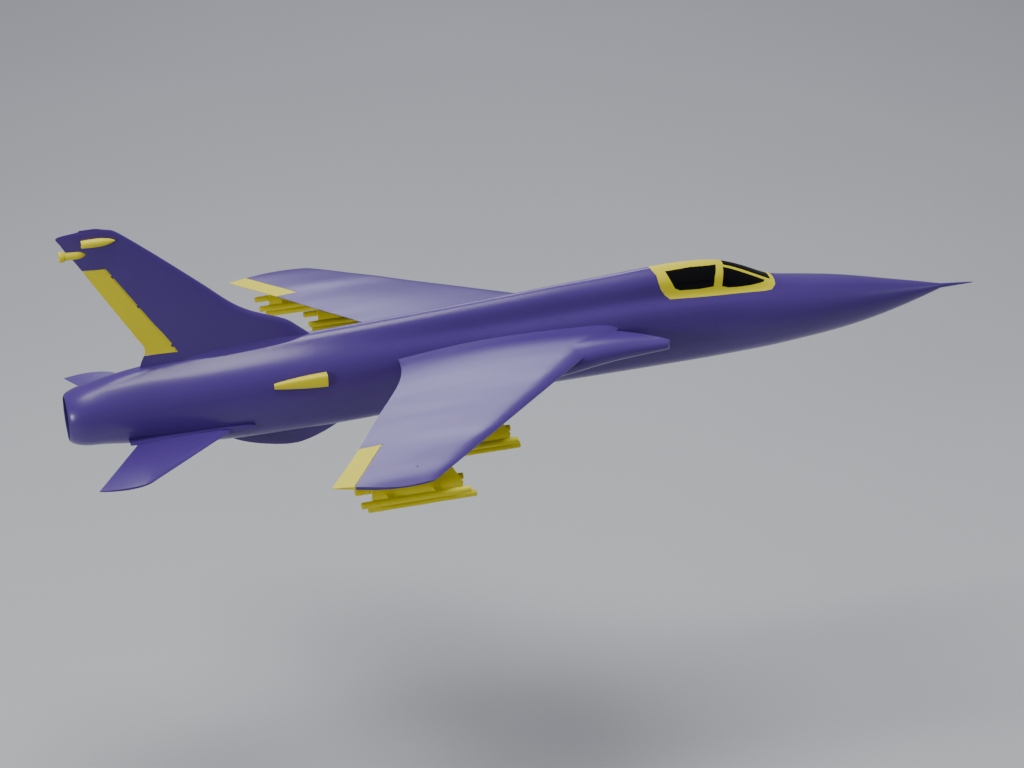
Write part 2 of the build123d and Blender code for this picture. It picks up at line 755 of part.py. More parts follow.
# ---------------------------------------------------------------- tail
FIN_LEADING = line_through([
    (0.70, 5.20), (1.0, 5.02), (1.15, 4.90), (1.30, 4.72), (1.43, 4.56), (1.53, 4.38),
    (1.61, 4.17), (1.71, 3.92), (1.82, 3.68), (2.02, 3.41), (2.25, 3.14), (2.48, 2.87),
    (3.03, 2.25), (3.41, 1.79), (3.71, 1.42), (3.80, 1.29), (3.85, 1.16), (3.89, 0.90),
])
FIN_TRAILING = line_through([
    (0.70, 1.50), (0.98, 1.57), (1.10, 1.645), (1.27, 1.655), (1.36, 1.61), (1.46, 1.55),
    (3.06, 0.605), (3.30, 0.463), (3.55, 0.30), (3.70, 0.21), (3.78, 0.18), (3.83, 0.35),
    (3.87, 0.62), (3.89, 0.84),
])
FIN_THICKNESS = line_through([
    (0.70, 0.24), (1.3, 0.18), (1.9, 0.145), (3.1, 0.095), (3.7, 0.07), (3.85, 0.03),
    (3.89, 0.012),
])
FIN_WATERLINES = [
    0.72, 0.95, 1.13, 1.28, 1.44, 1.6, 1.75, 1.9, 2.3, 2.8, 3.3, 3.55, 3.70, 3.78, 3.83,
    3.87, 3.885,
]
RUDDER_TOP = (1.056, 3.06)
RUDDER_BOTTOM = (2.31, 1.10)
RUDDER_LIMIT = 25
RUDDER_HINGES = (0.08, 0.55, 0.90)


def fin_half_thickness(station, waterline):
    leading = FIN_LEADING(waterline)
    chord = leading - FIN_TRAILING(waterline)
    share = (leading - station) / chord
    return FOIL_THICKNESS(share) * mm(FIN_THICKNESS(waterline)) / 2


fin_wires = []
for waterline in FIN_WATERLINES:
    fin_wires.append(foil_wire(
        spot(FIN_LEADING(waterline), 0, waterline), spot(FIN_TRAILING(waterline), 0, waterline),
        Vector(0, 1, 0), mm(FIN_THICKNESS(waterline)),
    ))
fin_body = cut(Solid.make_loft(fin_wires), fuselage_body)
rudder_hinge = HingeLine(
    spot(RUDDER_BOTTOM[0], 0, RUDDER_BOTTOM[1]), spot(RUDDER_TOP[0], 0, RUDDER_TOP[1]),
    Vector(1, 0, 0), Vector(0, 1, 0),
    fin_half_thickness(*RUDDER_BOTTOM), fin_half_thickness(*RUDDER_TOP), RUDDER_LIMIT,
)
fin, rudder, rudder_knuckles, rudder_pins = split_surface(
    fin_body, rudder_hinge, RUDDER_HINGES, RUDDER_END_GAP
)
rudder_link = Linkage(
    rudder_hinge.at(0.30), rudder_hinge.forward, rudder_hinge.normal, reach=40.0, drop=0.3
)
rudder_horn = cut(rudder_link.horn(-12.0, -2.6, 0.5), rudder)
fin = cut(fin, rudder_link.pocket(12.0))

STAB_SHAFT = (2.15, -0.41)
STAB_ROOT = 0.80
STAB_LIMIT = 15
STAB_LEADING = line_through([(0.80, 3.12), (2.80, 1.03)])
STAB_TRAILING = line_through([(0.80, 1.26), (2.80, 0.15)])
STAB_THICKNESS = line_through([(0.80, 0.105), (2.80, 0.038)])
STAB_BUTTS = [0.80, 2.80]
STAB_TIP_EDGE = [
    (1.9, 2.30), (1.45, 2.46), (1.15, 2.62), (0.80, 2.69), (0.26, 2.62), (-0.2, 2.54),
]
STAB_SLOPE = 0.03
stab_wires = []
for butt in STAB_BUTTS:
    waterline = STAB_SHAFT[1] + STAB_SLOPE * (butt - STAB_ROOT)
    stab_wires.append(foil_wire(
        spot(STAB_LEADING(butt), butt, waterline), spot(STAB_TRAILING(butt), butt, waterline),
        up, mm(STAB_THICKNESS(butt)),
    ))
SHAFT_RADIUS = 2.0
SHAFT_START = 0.38
SHAFT_END = 1.20


def shaft_point(butt):
    """A point on the stabilator's pivot line."""
    return spot(STAB_SHAFT[0], butt, STAB_SHAFT[1])


stab_shaft = rod(shaft_point(SHAFT_START), shaft_point(SHAFT_END), SHAFT_RADIUS)
stabilator = cut(Solid.make_loft(stab_wires), tip_cutter(STAB_TIP_EDGE), stab_shaft)
BEARING_RADIUS = 3.2
bearing_start = shaft_point(0.50)
bearing_end = shaft_point(0.785)
stab_bearing = tube(bearing_start, bearing_end, BEARING_RADIUS, SHAFT_RADIUS + RUNNING)
bearing_bore = rod(bearing_start, bearing_end + across * 5, BEARING_RADIUS)

# A slim ridge on the body's side, which the stabilator's root runs against.
ROOT_FACE = 0.79
ROOT_FRONT = 3.62
ROOT_REAR = 1.12
ROOT_HEIGHT = 0.115
root_section = Face(foil_wire(
    spot(ROOT_FRONT, 0.45, STAB_SHAFT[1]), spot(ROOT_REAR, 0.45, STAB_SHAFT[1]), up,
    mm(ROOT_HEIGHT),
))
root_ridge = Solid.extrude(root_section, across * mm(ROOT_FACE - 0.45))
stab_fairing = cut(root_ridge, fuselage_body, bearing_bore)

VENTRAL_SECTIONS = [
    (-0.80, 3.05, 5.70, 0.15), (-0.95, 3.20, 5.50, 0.13), (-1.10, 3.50, 5.22, 0.11),
    (-1.20, 3.82, 4.98, 0.09), (-1.27, 4.15, 4.75, 0.05), (-1.30, 4.35, 4.60, 0.02),
]
ventral_wires = [
    foil_wire(spot(front, 0, waterline), spot(rear, 0, waterline), across, mm(thickness))
    for waterline, rear, front, thickness in VENTRAL_SECTIONS
]
ventral_fin = cut(Solid.make_loft(ventral_wires), fuselage_body)

# ---------------------------------------------------------------- fan, motor and tail pipe
FAN_WATERLINE = -0.12
FAN_FRONT = 7.0
FAN_REAR = 6.2
FAN_CENTRE = 6.78
SHROUD_INNER = 35.3
SHROUD_OUTER = 37.3
HUB_RADIUS = 16.0
HUB_HALF_LENGTH = 7.0
BLADE_COUNT = 11
BLADE_TIP = 34.9
BLADE_CHORD = 15.0
BLADE_THICKNESS = 1.5
BLADE_FACING = (0.62, 0.785, 0)
FAN_SHAFT_RADIUS = 2.0
FAN_SHAFT_REACH = 24.0
SPINNER_OUTLINE = [(0, 16.0), (9, 13.0), (16, 7.5), (19, 0)]
VANE_COUNT = 5
VANE_THICKNESS = 1.6
MOTOR_RADIUS = 14.0
MOTOR_GAP = 9.0
VANE_GAP = 11.0
LUG_STATIONS = (6.30, 6.88)
LUG_BUTT = 39.5
LUG_HALF = Vector(4, 4, 1.5)
LUG_HOLE_RADIUS = 1.3
TAIL_CONE_LENGTH = 38.0
TAIL_CONE_END = 3.0


def fan_axis(station):
    return spot(station, 0, FAN_WATERLINE)


ahead = Vector(1, 0, 0)
fan_centre = fan_axis(FAN_CENTRE)
rotor_front = fan_centre + ahead * HUB_HALF_LENGTH
rotor_back = fan_centre - ahead * HUB_HALF_LENGTH
annulus = tube(rotor_back - ahead * 2, rotor_front + ahead * 2, BLADE_TIP, HUB_RADIUS - 1)
blade_plane = Plane(origin=fan_centre, x_dir=BLADE_FACING, z_dir=(0, 0, 1))
blade_blank = Solid.make_box(BLADE_CHORD, BLADE_THICKNESS, BLADE_TIP + 2, blade_plane)
blade_middle = fan_centre + up * (BLADE_TIP / 2 + 4)
blade = common(blade_blank.translate(blade_middle - blade_blank.center()), annulus)
fan_axis_line = Axis(fan_centre, (1, 0, 0))
fan_rotor = rod(rotor_back, rotor_front, HUB_RADIUS)
for i in range(BLADE_COUNT):
    fan_rotor = join(fan_rotor, blade.rotate(fan_axis_line, 360 / BLADE_COUNT * i))
shaft_tip = fan_centre - ahead * FAN_SHAFT_REACH
fan_rotor = join(fan_rotor, rod(shaft_tip, rotor_back, FAN_SHAFT_RADIUS))

spinner_points = [rotor_front + Vector(x, 0, z) for x, z in SPINNER_OUTLINE]
spinner_face = Face(Wire([
    Edge.make_line(rotor_front, spinner_points[0]),
    Edge.make_spline(spinner_points),
    Edge.make_line(spinner_points[-1], rotor_front),
]))
spinner = Solid.revolve(spinner_face, 360, fan_axis_line)

motor_front = fan_centre - ahead * MOTOR_GAP
motor_back = fan_axis(6.22)
motor = cut(
    rod(motor_back, motor_front, MOTOR_RADIUS),
    rod(shaft_tip - ahead, motor_front, FAN_SHAFT_RADIUS + RUNNING),
)
tail_cone = cone(
    motor_back, motor_back - ahead * TAIL_CONE_LENGTH, MOTOR_RADIUS, TAIL_CONE_END
)

fan_back = fan_axis(FAN_REAR)
vane_front = fan_centre - ahead * VANE_GAP
housing = tube(fan_back, fan_axis(FAN_FRONT), SHROUD_OUTER, SHROUD_INNER)
motor_mount = tube(fan_back, vane_front, HUB_RADIUS, MOTOR_RADIUS)
vane_space = tube(fan_back, vane_front, SHROUD_INNER + 0.5, HUB_RADIUS - 0.5)
vane_low = fan_back + Vector(1, -VANE_THICKNESS / 2, 10)
vane_high = vane_low + Vector(27, VANE_THICKNESS, 30)
vane = common(block(vane_low, vane_high), vane_space)
fan_housing = join(housing, motor_mount)
for i in range(VANE_COUNT):
    fan_housing = join(fan_housing, vane.rotate(fan_axis_line, 360 / VANE_COUNT * i))
air_way = rod(fan_back, fan_axis(FAN_FRONT), SHROUD_OUTER - 1)
for side in (-1, 1):
    for station in LUG_STATIONS:
        centre = fan_axis(station) + across * side * LUG_BUTT
        lug = cut(block(centre - LUG_HALF, centre + LUG_HALF), air_way)
        screw_hole = rod(centre - up * 12, centre + up * 5, LUG_HOLE_RADIUS)
        fan_housing = cut(join(fan_housing, lug), screw_hole)

PIPE_START = (FAN_REAR - 0.004, FAN_WATERLINE, 36.6)
PIPE_END = (0.34, 0.0, 32.6)
PIPE_WALL = 1.0


def pipe_loft(grow):
    wires = []
    for station, waterline, radius in (PIPE_START, PIPE_END):
        plane = Plane(origin=spot(station, 0, waterline), z_dir=(1, 0, 0))
        wires.append(Wire.make_circle(radius + grow, plane))
    return Solid.make_loft(wires, ruled=True)


pipe_outside = pipe_loft(0.0)
thrust_tube = cut(pipe_outside, pipe_loft(-PIPE_WALL))
pipe_clearance = pipe_loft(SEAM)

# ---------------------------------------------------------------- elevator drive
HORN_BUTT = mm(0.42)
ELEVATOR_REACH = mm(1.35)
ELEVATOR_DROP = mm(0.21)
elevator_link = Linkage(
    shaft_point(0), Vector(1, 0, 0), Vector(0, 0, -1),
    reach=ELEVATOR_REACH, drop=ELEVATOR_DROP,
)
horn_blank = elevator_link.horn(-2.6, 2.6, 0.0)
horn_hub = elevator_link.bar(0, 0, -2.5, 2.5, 4.0)
horn_centred = join(horn_blank, horn_hub)
stab_horn = cut(horn_centred.translate((0, HORN_BUTT, 0)), stab_shaft)

rod_butt = HORN_BUTT - ROD_OFFSET
horn_end = elevator_link.local(0, 0, ARM_LENGTH)
arm_end = elevator_link.local(ELEVATOR_REACH, 0, ELEVATOR_DROP + ARM_LENGTH)
FORK_SHARE = 0.30
fork_point = horn_end + (arm_end - horn_end) * FORK_SHARE
link_direction = elevator_link.plane.y_dir


def elevator_rod():
    """One rod from the servo's arm, forked to a horn on each side."""
    arm_eye = elevator_link.bar(
        ELEVATOR_REACH, ELEVATOR_DROP + ARM_LENGTH, ROD_OFFSET - EYE_WIDTH / 2,
        ROD_OFFSET + EYE_WIDTH / 2, EYE_RADIUS,
    )
    arm_bore = elevator_link.bar(
        ELEVATOR_REACH, ELEVATOR_DROP + ARM_LENGTH, -5, 5, LINK_PIN + RUNNING
    )
    trunk = rod(arm_end + link_direction * ROD_OFFSET, fork_point, ROD_RADIUS)
    bar = rod(fork_point - link_direction * rod_butt, fork_point + link_direction * rod_butt,
              ROD_RADIUS)
    body = join(arm_eye, trunk, bar)
    for side in (-1, 1):
        centre = side * rod_butt
        leg_start = fork_point + link_direction * centre
        body = join(
            body,
            rod(leg_start, horn_end + link_direction * centre, ROD_RADIUS),
            elevator_link.bar(0, ARM_LENGTH, centre - EYE_WIDTH / 2, centre + EYE_WIDTH / 2,
                              EYE_RADIUS),
        )
        body = cut(body, elevator_link.bar(
            0, ARM_LENGTH, centre - EYE_WIDTH, centre + EYE_WIDTH, LINK_PIN + RUNNING
        ))
    return cut(body, arm_bore)


elevator_pushrod = elevator_rod()

# ---------------------------------------------------------------- wooden frame
PLY = 3.0
ply = Vector(PLY, 0, 0)


def former(station):
    """A bulkhead that fills the hull's inside at one station."""
    low = spot(station, -2, -2)
    high = spot(station, 2, 3) + ply
    return common(fuselage_hollow, block(low, high))


def hole(station, waterline, radius, butt=0.0):
    centre = spot(station, butt, waterline)
    return rod(centre - ply * 2, centre + ply * 3, radius)


def window(station, low, high):
    """A rectangular opening in a bulkhead, between two (butt, waterline) corners."""
    return block(spot(station, *low) - ply * 2, spot(station, *high) + ply * 3)


EQUIPMENT_FLOOR = -0.46
equipment_tray = common(
    fuselage_hollow,
    block(spot(10.90, -0.40, EQUIPMENT_FLOOR) - up * PLY, spot(14.92, 0.40, EQUIPMENT_FLOOR)),
)
SHELF_LEVEL = -0.69
servo_shelf = common(
    fuselage_hollow,
    block(spot(2.72, -0.40, SHELF_LEVEL) - up * 2, spot(4.40, -0.03, SHELF_LEVEL)),
)
RAIL_OFFSET = 41.0
RAIL_HALF_WIDTH = 3.0
RAIL_HEIGHT = 8.0
fan_rails = []
for side in (-1, 1):
    rail = block(
        fan_axis(5.70) + Vector(0, side * RAIL_OFFSET - RAIL_HALF_WIDTH, -LUG_HALF.Z - RAIL_HEIGHT),
        fan_axis(7.32) + Vector(0, side * RAIL_OFFSET + RAIL_HALF_WIDTH, -LUG_HALF.Z),
    )
    fan_rails.append(common(fuselage_hollow, rail))
formers = [
    cut(former(16.40), hole(16.40, 0.08, 12)),
    cut(former(14.95), window(14.95, (-0.38, -0.30), (0.38, 0.60))),
    cut(former(11.90), window(11.90, (-0.38, -0.46), (0.38, 1.00)), equipment_tray),
    cut(former(10.66), window(10.66, (-0.42, -0.40), (0.42, 1.00)), duct_clearance,
        port(duct_clearance)),
    cut(former(9.15), window(9.15, (-0.30, 0.62), (0.30, 0.90)), duct_clearance,
        port(duct_clearance)),
    cut(former(7.30), duct_clearance, port(duct_clearance),
        window(7.30, (-0.25, 0.50), (0.25, 0.90)), *fan_rails),
]
tail_formers = [
    cut(former(5.68), pipe_clearance, window(5.68, (-0.25, 0.52), (0.25, 0.88)), *fan_rails),
    cut(former(2.72), pipe_clearance, hole(2.72, -0.665, 5), servo_shelf),
    cut(former(0.66), pipe_clearance),
]

# ---------------------------------------------------------------- power and radio
BATTERY = Vector(140, 43, 35)
battery_corner = spot(12.20, 0, EQUIPMENT_FLOOR) - Vector(0, BATTERY.Y / 2, 0)
battery_pack = fillet(Solid.make_box(*BATTERY, Plane(origin=battery_corner)).edges(), 3.0)
STRAP_WIDTH = 20.0
STRAP_THICKNESS = 1.2
strap_corner = battery_corner + Vector(60, -STRAP_THICKNESS - 0.2, 0)
strap_size = Vector(STRAP_WIDTH, BATTERY.Y + 2 * STRAP_THICKNESS + 0.4,
                    BATTERY.Z + STRAP_THICKNESS + 0.2)
strap_inside = block(
    strap_corner + Vector(-1, STRAP_THICKNESS, -1),
    strap_corner + strap_size + Vector(1, -STRAP_THICKNESS, -STRAP_THICKNESS),
)
battery_strap = cut(block(strap_corner, strap_corner + strap_size), strap_inside)
speed_controller = block(
    spot(10.93, -0.37, EQUIPMENT_FLOOR), spot(11.72, -0.03, EQUIPMENT_FLOOR) + up * 12
)
fins_top = spot(10.93, -0.37, EQUIPMENT_FLOOR) + up * 10
HEAT_FINS = 6
for i in range(HEAT_FINS):
    groove = block(
        fins_top + Vector(4, 3.2 + 3.2 * i, 0), fins_top + Vector(52, 4.6 + 3.2 * i, 3)
    )
    speed_controller = cut(speed_controller, groove)
receiver = block(
    spot(11.02, 0.04, EQUIPMENT_FLOOR), spot(11.55, 0.36, EQUIPMENT_FLOOR) + up * 13
)
for i in range(6):
    socket_low = spot(11.55, 0.04, EQUIPMENT_FLOOR) + Vector(-6, 3 + 3.0 * i, 5)
    receiver = cut(receiver, block(socket_low, socket_low + Vector(7, 1.6, 6)))

# ---------------------------------------------------------------- underwing dummies
TUBE_RADIUS = 4.6
TUBE_SPREAD = 0.27
TUBE_DROP = 0.25
TUBE_END_ROUNDING = 0.8
PYLON_THICKNESS = 4.5
RACK_BAR_OFFSET = 0.45
RACK_BAR_HALF = Vector(5, 0, 2)
RACK_POST_HALF = Vector(5, 2, 0)


def store_group(butt, rear, front, level, lead):
    """A pylon with three tubes below it: two side by side and one underneath."""
    pylon_outline = [
        (rear + 0.26, wing_waterline(butt)), (rear + 0.26, level - 0.10),
        (front - 0.10, level - 0.10), (front - 0.07, level + 0.03),
        (front - 0.30, wing_waterline(butt) - 0.06), (front - 0.30, wing_waterline(butt)),
    ]
    half = PYLON_THICKNESS * SCALE / 1000 / 2
    pylon = outline_prism(pylon_outline, butt - half, butt + half)
    pylon = cut(pylon, wing_body)
    places = [
        (butt - TUBE_SPREAD, level, 0.0), (butt + TUBE_SPREAD, level, 0.0),
        (butt, level - TUBE_DROP, lead),
    ]
    tubes = []
    arms = []
    for side_butt, waterline, shift in places:
        start = spot(rear + shift, side_butt, waterline)
        end = spot(front + shift, side_butt, waterline)
        body = rod(start, end, TUBE_RADIUS)
        tubes.append(fillet(body.edges().filter_by(GeomType.CIRCLE), TUBE_END_ROUNDING))
    bar_station = (rear + front) / 2
    for station in (bar_station - RACK_BAR_OFFSET, bar_station + RACK_BAR_OFFSET):
        low = spot(station, butt - TUBE_SPREAD, level) - RACK_BAR_HALF
        high = spot(station, butt + TUBE_SPREAD, level) + RACK_BAR_HALF
        arms.append(block(low, high))
        post_low = spot(station, butt, level - TUBE_DROP) - RACK_POST_HALF
        post_high = spot(station, butt, level) + RACK_POST_HALF
        arms.append(block(post_low, post_high))
    rack = cut(join(pylon, *arms), *tubes)
    return rack, tubes


outboard_rack, outboard_tubes = store_group(4.73, 4.76, 6.85, -0.235, 0.18)
inboard_rack, inboard_tubes = store_group(3.32, 5.55, 8.20, -0.12, 0.12)

# ---------------------------------------------------------------- small outside fittings
POD_RADIUS = 0.075


def pod(rear, front, butt, waterline, radius):
    """A round pod: flat at the back, a long pointed nose."""
    start = spot(rear, butt, waterline)
    end = spot(front, butt, waterline)
    long = end.X - start.X
    shoulder = start + Vector(0.5 * long, 0, mm(radius))
    face = Face(Wire([
        Edge.make_line(start, start + up * (mm(radius) * 0.86)),
        Edge.make_spline([
            start + up * (mm(radius) * 0.86), shoulder - Vector(0.25 * long, 0, 0), shoulder,
            start + Vector(0.8 * long, 0, mm(radius) * 0.66), end,
        ]),
        Edge.make_line(end, start),
    ]))
    return Solid.revolve(face, 360, Axis(start, (1, 0, 0)))


fin_pods = [
    cut(pod(0.64, 1.30, side * 0.075, 3.67, POD_RADIUS), fin_body) for side in (-1, 1)
]
tail_pod = cut(pod(0.20, 0.74, 0, 3.45, 0.07), fin_body)
scoop_wires = [
    oval_wire(4.05, 0.70, 0.36, 0.05, 0.055, 2.4),
    oval_wire(4.45, 0.70, 0.36, 0.085, 0.105, 2.6),
    oval_wire(5.12, 0.70, 0.355, 0.115, 0.145, 3.0),
]
scoop_hollow = [
    oval_wire(4.35, 0.70, 0.36, 0.05, 0.07, 2.6),
    oval_wire(5.20, 0.70, 0.355, 0.098, 0.128, 3.0),
]
side_scoop = cut(
    Solid.make_loft(scoop_wires), Solid.make_loft(scoop_hollow), fuselage_body
)

# ---------------------------------------------------------------- hull pieces
probe_root = spot(18.85, 0, 0.09)
probe_tip = spot(19.63, 0, 0.06)
PROBE_SHANK = 2.4
probe_shank = rod(spot(18.50, 0, 0.09), probe_root, PROBE_SHANK)
pitot_probe = join(cone(probe_root, probe_tip, 3.7, 0.7), probe_shank)
nose_cone = cut(common(fuselage_shell, slab(NOSE_JOINT, 19)), probe_shank)
forward_fuselage = cut(common(fuselage_shell, slab(FRONT_JOINT, NOSE_JOINT)), hatch_opening)
centre_fuselage = cut(
    common(fuselage_shell, slab(REAR_JOINT, FRONT_JOINT)), duct_clearance,
    port(duct_clearance), socket_block, wing_bolt, port(wing_bolt), *spar_bores,
)
rear_fuselage = cut(
    common(fuselage_shell, slab(NOZZLE_JOINT, REAR_JOINT)), bearing_bore, port(bearing_bore)
)
exhaust_nozzle = common(fuselage_shell, slab(-0.1, NOZZLE_JOINT))

# ---------------------------------------------------------------- nodes
save("nose_cone", nose_cone)
save("pitot_probe", pitot_probe)
save("forward_fuselage", forward_fuselage)
save("centre_fuselage", centre_fuselage)
save("rear_fuselage", rear_fuselage)
save("exhaust_nozzle", exhaust_nozzle)
save("plywood_formers", *formers)
save("tail_formers", *tail_formers)
save("plywood_bearers", equipment_tray, *fan_rails, servo_shelf, *hatch_crosspieces)
save("bay_magnets", *bay_magnets)
save("battery_pack", battery_pack)
save("battery_strap", battery_strap)
save("speed_controller", speed_controller)
save("receiver", receiver)
save("stand_socket", stand_socket)
save("canopy_frame", canopy_frame)
save("canopy_panes", rear_panes, side_panes, front_pane)
save("hatch_tray", hatch_tray)
save("hatch_magnets", *hatch_magnets)
save("spar_tubes", *spar_tubes)
save("wing_bolts", wing_bolt, port(wing_bolt))
save("fan_housing", fan_housing)
save("fan_rotor", fan_rotor)
save("spinner", spinner)
save("motor", motor)
save("motor_tail_cone", tail_cone)
save("thrust_tube", thrust_tube)
save("fin", fin)
save("rudder", rudder)
save("rudder_horn", rudder_horn)
save("rudder_pushrod", rudder_link.pushrod())
save("rudder_servo_arm", rudder_link.arm())
save("ventral_fin", ventral_fin)
save("fin_pods", *fin_pods, tail_pod)
save("side_scoops", side_scoop, port(side_scoop))
save("stab_root_fairings", stab_fairing, port(stab_fairing))
save("stab_bearings", stab_bearing, port(stab_bearing))
save("elevator_pushrod", elevator_pushrod)
save("elevator_servo_arm", elevator_link.arm())

aileron_arm = aileron_link.arm()
aileron_rod = aileron_link.pushrod()
for side, twin in (("left", lambda shape: shape), ("right", port)):
    save(f"wing_{side}", twin(wing_panel))
    save(f"aileron_{side}", twin(aileron))
    save(f"aileron_horn_{side}", twin(aileron_horn))
    save(f"aileron_servo_arm_{side}", twin(aileron_arm))
    save(f"aileron_pushrod_{side}", twin(aileron_rod))
    save(f"stabilator_{side}", twin(stabilator))
    save(f"stab_drive_{side}", twin(stab_shaft), twin(stab_horn))

racks = [outboard_rack, inboard_rack]
tubes = outboard_tubes + inboard_tubes
save("store_pylons", *racks, *[port(rack) for rack in racks])
save("dummy_tubes", *tubes, *[port(store) for store in tubes])
save("intake_fairings", intake_fairing, port(intake_fairing))
save("intake_ducts", intake_duct, port(intake_duct))

knuckles = aileron_knuckles + [port(knuckle) for knuckle in aileron_knuckles] + rudder_knuckles
pins = aileron_pins + [port(pin) for pin in aileron_pins] + rudder_pins
save("hinge_knuckles", *knuckles)
save("hinge_pins", *pins)
aileron_servo = aileron_link.servo()
save(
    "servos", aileron_servo, port(aileron_servo), rudder_link.servo(), elevator_link.servo()
)
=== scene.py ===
import json
from math import cos, pi, radians, sin

import bpy
from mathutils import Matrix, Vector
from mathutils.bvhtree import BVHTree


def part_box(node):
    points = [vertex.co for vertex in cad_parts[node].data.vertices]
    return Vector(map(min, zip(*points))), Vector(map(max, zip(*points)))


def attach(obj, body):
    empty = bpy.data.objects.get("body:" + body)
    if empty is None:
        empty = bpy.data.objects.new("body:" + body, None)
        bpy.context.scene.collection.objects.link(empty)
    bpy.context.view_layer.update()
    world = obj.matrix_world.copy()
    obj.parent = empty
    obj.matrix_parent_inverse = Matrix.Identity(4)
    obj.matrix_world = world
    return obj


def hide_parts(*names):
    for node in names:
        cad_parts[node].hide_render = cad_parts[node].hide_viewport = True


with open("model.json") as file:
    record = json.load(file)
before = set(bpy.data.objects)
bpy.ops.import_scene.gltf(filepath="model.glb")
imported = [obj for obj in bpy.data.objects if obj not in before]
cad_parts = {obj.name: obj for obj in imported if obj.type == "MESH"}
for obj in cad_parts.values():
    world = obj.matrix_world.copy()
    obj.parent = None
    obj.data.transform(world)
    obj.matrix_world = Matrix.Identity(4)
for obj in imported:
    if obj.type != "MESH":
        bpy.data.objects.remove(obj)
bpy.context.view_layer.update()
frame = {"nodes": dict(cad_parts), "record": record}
scene = bpy.context.scene
nodes = frame["nodes"]

# ---------------------------------------------------------------- camera, floor and light
CAMERA_PLACE = Vector((-0.9465, -3.0787, 1.5405))
CAMERA_AZIMUTH = radians(16.216)
CAMERA_DROP = radians(25.772)
CAMERA_ROLL = radians(-1.397)
SENSOR_WIDTH = 36.0
LENS = 84.335
FLOOR_LEVEL = -0.62
FLOOR_HALF = 60.0
FLOOR_DARK = (0.51, 0.52, 0.53)
FLOOR_LIGHT = (0.54, 0.55, 0.56)
SKY_COLOUR = (0.90, 0.89, 0.89)


def add_camera():
    forward = Vector((
        sin(CAMERA_AZIMUTH) * cos(CAMERA_DROP), cos(CAMERA_AZIMUTH) * cos(CAMERA_DROP),
        -sin(CAMERA_DROP),
    ))
    level_right = forward.cross(Vector((0, 0, 1))).normalized()
    level_up = level_right.cross(forward)
    right = level_right * cos(CAMERA_ROLL) + level_up * sin(CAMERA_ROLL)
    up = level_up * cos(CAMERA_ROLL) - level_right * sin(CAMERA_ROLL)
    turn = Matrix((right, up, -forward)).transposed().to_4x4()
    data = bpy.data.cameras.new("camera")
    data.sensor_width = SENSOR_WIDTH
    data.lens = LENS
    camera = bpy.data.objects.new("camera", data)
    camera.matrix_world = Matrix.Translation(CAMERA_PLACE) @ turn
    scene.collection.objects.link(camera)
    scene.camera = camera


def add_area_light(name, place, target, size, power, colour=(1, 1, 1)):
    data = bpy.data.lights.new(name, "AREA")
    data.size = size
    data.energy = power
    data.color = colour
    light = bpy.data.objects.new(name, data)
    light.location = place
    light.rotation_euler = (Vector(target) - Vector(place)).to_track_quat("-Z", "Y").to_euler()
    scene.collection.objects.link(light)


def add_world(strength):
    world = bpy.data.worlds.new("studio")
    world.use_nodes = True
    background = world.node_tree.nodes["Background"]
    background.inputs["Color"].default_value = (*SKY_COLOUR, 1)
    background.inputs["Strength"].default_value = strength
    scene.world = world


def mesh_object(name, vertices, faces):
    mesh = bpy.data.meshes.new(name)
    mesh.from_pydata([tuple(v) for v in vertices], [], faces)
    mesh.update()
    piece = bpy.data.objects.new(name, mesh)
    scene.collection.objects.link(piece)
    return piece


